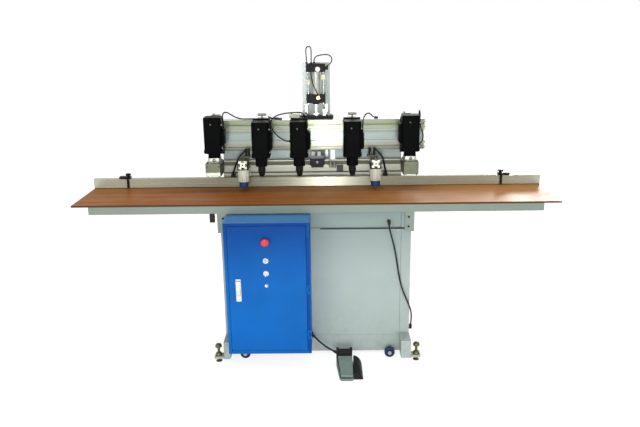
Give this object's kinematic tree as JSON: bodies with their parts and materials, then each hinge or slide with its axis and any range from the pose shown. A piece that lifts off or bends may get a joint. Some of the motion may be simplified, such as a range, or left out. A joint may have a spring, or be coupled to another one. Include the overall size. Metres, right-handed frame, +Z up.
{
  "type": "dowel joiner",
  "caption": "Multi-spindle dowel boring machine with a long table, back fence, pneumatic feed beam, clamps, control cabinet and foot pedal.",
  "frame": {"origin": "floor level under the centre of the bounding box", "axes": "+X along the table to the operator's right, +Y away from the operator, +Z up"},
  "size_m": [2.442, 0.973, 1.571],
  "materials": {
    "frame_paint": "semi-gloss",
    "cabinet_blue": "gloss",
    "board": "satin laminate",
    "aluminium": "anodised satin",
    "steel": "satin",
    "motor_black": "gloss",
    "black_metal": "satin",
    "case_silver": "satin",
    "zinc_olive": "passivated",
    "pad_navy": "matte",
    "wheel_navy": "matte",
    "black_plastic": "matte",
    "hose_black": "matte",
    "pedal_green": "satin",
    "button_red": "gloss",
    "button_pale": "gloss",
    "gear_grey": "matte",
    "fitting": "satin"
  },
  "bodies": {
    "machine": {"base_frame": "frame_paint", "base_panels": "frame_paint", "levelling_feet": "zinc_olive", "table_frame": "frame_paint", "table_board": "board", "fence": "aluminium", "column": "frame_paint", "guide_rails": "steel", "feed_cylinder": "aluminium", "clamp_frame": "aluminium", "clamp_cylinders": "aluminium", "air_fittings": "fitting", "air_hoses": "hose_black", "control_box": "cabinet_blue", "control_gear": "gear_grey", "pedal_base": "black_plastic", "pedal_cord": "hose_black"},
    "feed": {"feed_beam": "aluminium", "push_plate": "black_metal", "piston_rod": "steel", "guide_blocks": "steel", "motor_cables": "hose_black"},
    "head_1": {"head_1_carriage": "black_metal", "head_1_motor": "motor_black", "head_1_gear_case": "case_silver"},
    "spindle_1": {"head_1_drive_shaft": "steel"},
    "outlet_1_left": {"head_1_outlet_left": "steel"},
    "outlet_1_right": {"head_1_outlet_right": "steel"},
    "head_2": {"head_2_carriage": "black_metal", "head_2_motor": "motor_black"},
    "spindle_2": {"head_2_spindle": "steel"},
    "lock_knob_2": {"head_2_lock_knob": "steel"},
    "head_3": {"head_3_carriage": "black_metal", "head_3_motor": "motor_black"},
    "spindle_3": {"head_3_spindle": "steel"},
    "head_4": {"head_4_carriage": "black_metal", "head_4_motor": "motor_black"},
    "spindle_4": {"head_4_spindle": "steel"},
    "lock_knob_4": {"head_4_lock_knob": "steel"},
    "head_5": {"head_5_carriage": "black_metal", "head_5_motor": "motor_black", "head_5_gear_case": "case_silver"},
    "spindle_5": {"head_5_drive_shaft": "steel"},
    "outlet_5_left": {"head_5_outlet_left": "steel"},
    "outlet_5_right": {"head_5_outlet_right": "steel"},
    "pad_left": {"clamp_pad_left": "pad_navy"},
    "pad_right": {"clamp_pad_right": "pad_navy"},
    "stop_left": {"stop_left": "black_metal"},
    "stop_right": {"stop_right": "black_metal"},
    "door": {"box_door": "cabinet_blue"},
    "handle": {"door_handle": "steel"},
    "estop": {"estop_button": "button_red"},
    "start": {"start_button": "button_pale"},
    "key": {"key_switch": "steel"},
    "toggle": {"toggle_switch": "steel"},
    "treadle": {"pedal_treadle": "pedal_green"},
    "wheel_1": {"wheel_1": "wheel_navy"},
    "wheel_2": {"wheel_2": "wheel_navy"},
    "wheel_3": {"wheel_3": "wheel_navy"},
    "wheel_4": {"wheel_4": "wheel_navy"}
  },
  "joints": [
    {"name": "beam_feed", "type": "slide", "parent": "machine", "child": "feed", "axis": [0, 0, 1], "range_m": [-0.055, 0]},
    {"name": "head_1_slide", "type": "slide", "parent": "feed", "child": "head_1", "axis": [1, 0, 0], "range_m": [0, 0.04], "deforming": ["motor_cables"]},
    {"name": "spindle_1_turn", "type": "hinge", "parent": "head_1", "child": "spindle_1", "pos_m": [-0.54, 0.1115, 1], "axis": [0, 0, 1], "continuous": true},
    {"name": "outlet_1_left_turn", "type": "hinge", "parent": "head_1", "child": "outlet_1_left", "pos_m": [-0.556, 0.1115, 0.92], "axis": [0, 0, 1], "continuous": true},
    {"name": "outlet_1_right_turn", "type": "hinge", "parent": "head_1", "child": "outlet_1_right", "pos_m": [-0.524, 0.1115, 0.92], "axis": [0, 0, 1], "continuous": true},
    {"name": "head_2_slide", "type": "slide", "parent": "feed", "child": "head_2", "axis": [1, 0, 0], "range_m": [-0.015, 0.04], "deforming": ["motor_cables"]},
    {"name": "spindle_2_turn", "type": "hinge", "parent": "head_2", "child": "spindle_2", "pos_m": [-0.29, 0.1115, 1], "axis": [0, 0, 1], "continuous": true},
    {"name": "lock_knob_2_turn", "type": "hinge", "parent": "head_2", "child": "lock_knob_2", "pos_m": [-0.287, 0.1975, 1.2], "axis": [0, 0, 1], "range_deg": [-90, 90]},
    {"name": "head_3_slide", "type": "slide", "parent": "feed", "child": "head_3", "axis": [1, 0, 0], "range_m": [-0.03, 0.008], "deforming": ["motor_cables"]},
    {"name": "spindle_3_turn", "type": "hinge", "parent": "head_3", "child": "spindle_3", "pos_m": [-0.088, 0.1115, 1], "axis": [0, 0, 1], "continuous": true},
    {"name": "head_4_slide", "type": "slide", "parent": "feed", "child": "head_4", "axis": [1, 0, 0], "range_m": [-0.025, 0.02], "deforming": ["motor_cables"]},
    {"name": "spindle_4_turn", "type": "hinge", "parent": "head_4", "child": "spindle_4", "pos_m": [0.195, 0.1115, 1], "axis": [0, 0, 1], "continuous": true},
    {"name": "lock_knob_4_turn", "type": "hinge", "parent": "head_4", "child": "lock_knob_4", "pos_m": [0.198, 0.1975, 1.2], "axis": [0, 0, 1], "range_deg": [-90, 90]},
    {"name": "head_5_slide", "type": "slide", "parent": "feed", "child": "head_5", "axis": [1, 0, 0], "range_m": [-0.05, 0.04], "deforming": ["motor_cables"]},
    {"name": "spindle_5_turn", "type": "hinge", "parent": "head_5", "child": "spindle_5", "pos_m": [0.5, 0.1115, 1], "axis": [0, 0, 1], "continuous": true},
    {"name": "outlet_5_left_turn", "type": "hinge", "parent": "head_5", "child": "outlet_5_left", "pos_m": [0.484, 0.1115, 0.92], "axis": [0, 0, 1], "continuous": true},
    {"name": "outlet_5_right_turn", "type": "hinge", "parent": "head_5", "child": "outlet_5_right", "pos_m": [0.516, 0.1115, 0.92], "axis": [0, 0, 1], "continuous": true},
    {"name": "pad_left_press", "type": "slide", "parent": "machine", "child": "pad_left", "axis": [0, 0, 1], "range_m": [-0.017, 0], "stiffness_N_per_m": 1500, "springref_m": 0.012},
    {"name": "pad_right_press", "type": "slide", "parent": "machine", "child": "pad_right", "axis": [0, 0, 1], "range_m": [-0.017, 0], "stiffness_N_per_m": 1500, "springref_m": 0.012},
    {"name": "stop_left_slide", "type": "slide", "parent": "machine", "child": "stop_left", "axis": [1, 0, 0], "range_m": [-0.12, 0.35]},
    {"name": "stop_right_slide", "type": "slide", "parent": "machine", "child": "stop_right", "axis": [1, 0, 0], "range_m": [-0.35, 0.12]},
    {"name": "door_hinge", "type": "hinge", "parent": "machine", "child": "door", "pos_m": [-0.041, -0.3565, 0.4], "axis": [0, 0, 1], "range_deg": [0, 110]},
    {"name": "handle_swing", "type": "hinge", "parent": "door", "child": "handle", "pos_m": [-0.381, -0.358, 0.471], "axis": [-1, 0, 0], "range_deg": [0, 40]},
    {"name": "estop_press", "type": "slide", "parent": "door", "child": "estop", "axis": [0, 1, 0], "range_m": [0, 0.004]},
    {"name": "start_press", "type": "slide", "parent": "door", "child": "start", "axis": [0, 1, 0], "range_m": [0, 0.003], "stiffness_N_per_m": 500, "springref_m": -0.002},
    {"name": "key_turn", "type": "hinge", "parent": "door", "child": "key", "pos_m": [-0.243, -0.3515, 0.514], "axis": [0, 1, 0], "range_deg": [0, 90]},
    {"name": "toggle_flip", "type": "hinge", "parent": "door", "child": "toggle", "pos_m": [-0.243, -0.3525, 0.45], "axis": [1, 0, 0], "range_deg": [0, 24]},
    {"name": "treadle_press", "type": "hinge", "parent": "machine", "child": "treadle", "pos_m": [0.14, -0.4655, 0.021], "axis": [-1, 0, 0], "range_deg": [0, 5], "stiffness_Nm_per_rad": 8, "springref_deg": -14.32},
    {"name": "wheel_1_turn", "type": "hinge", "parent": "machine", "child": "wheel_1", "pos_m": [-0.376, -0.2345, 0.029], "axis": [0, 1, 0], "continuous": true},
    {"name": "wheel_2_turn", "type": "hinge", "parent": "machine", "child": "wheel_2", "pos_m": [0.376, -0.2345, 0.029], "axis": [0, 1, 0], "continuous": true},
    {"name": "wheel_3_turn", "type": "hinge", "parent": "machine", "child": "wheel_3", "pos_m": [-0.376, 0.4625, 0.029], "axis": [0, 1, 0], "continuous": true},
    {"name": "wheel_4_turn", "type": "hinge", "parent": "machine", "child": "wheel_4", "pos_m": [0.376, 0.4625, 0.029], "axis": [0, 1, 0], "continuous": true}
  ],
  "couplings": [
    {"joint": "outlet_1_left_turn", "follows": "spindle_1_turn", "ratio": -1},
    {"joint": "outlet_1_right_turn", "follows": "spindle_1_turn", "ratio": -1},
    {"joint": "outlet_5_left_turn", "follows": "spindle_5_turn", "ratio": -1},
    {"joint": "outlet_5_right_turn", "follows": "spindle_5_turn", "ratio": -1}
  ]
}
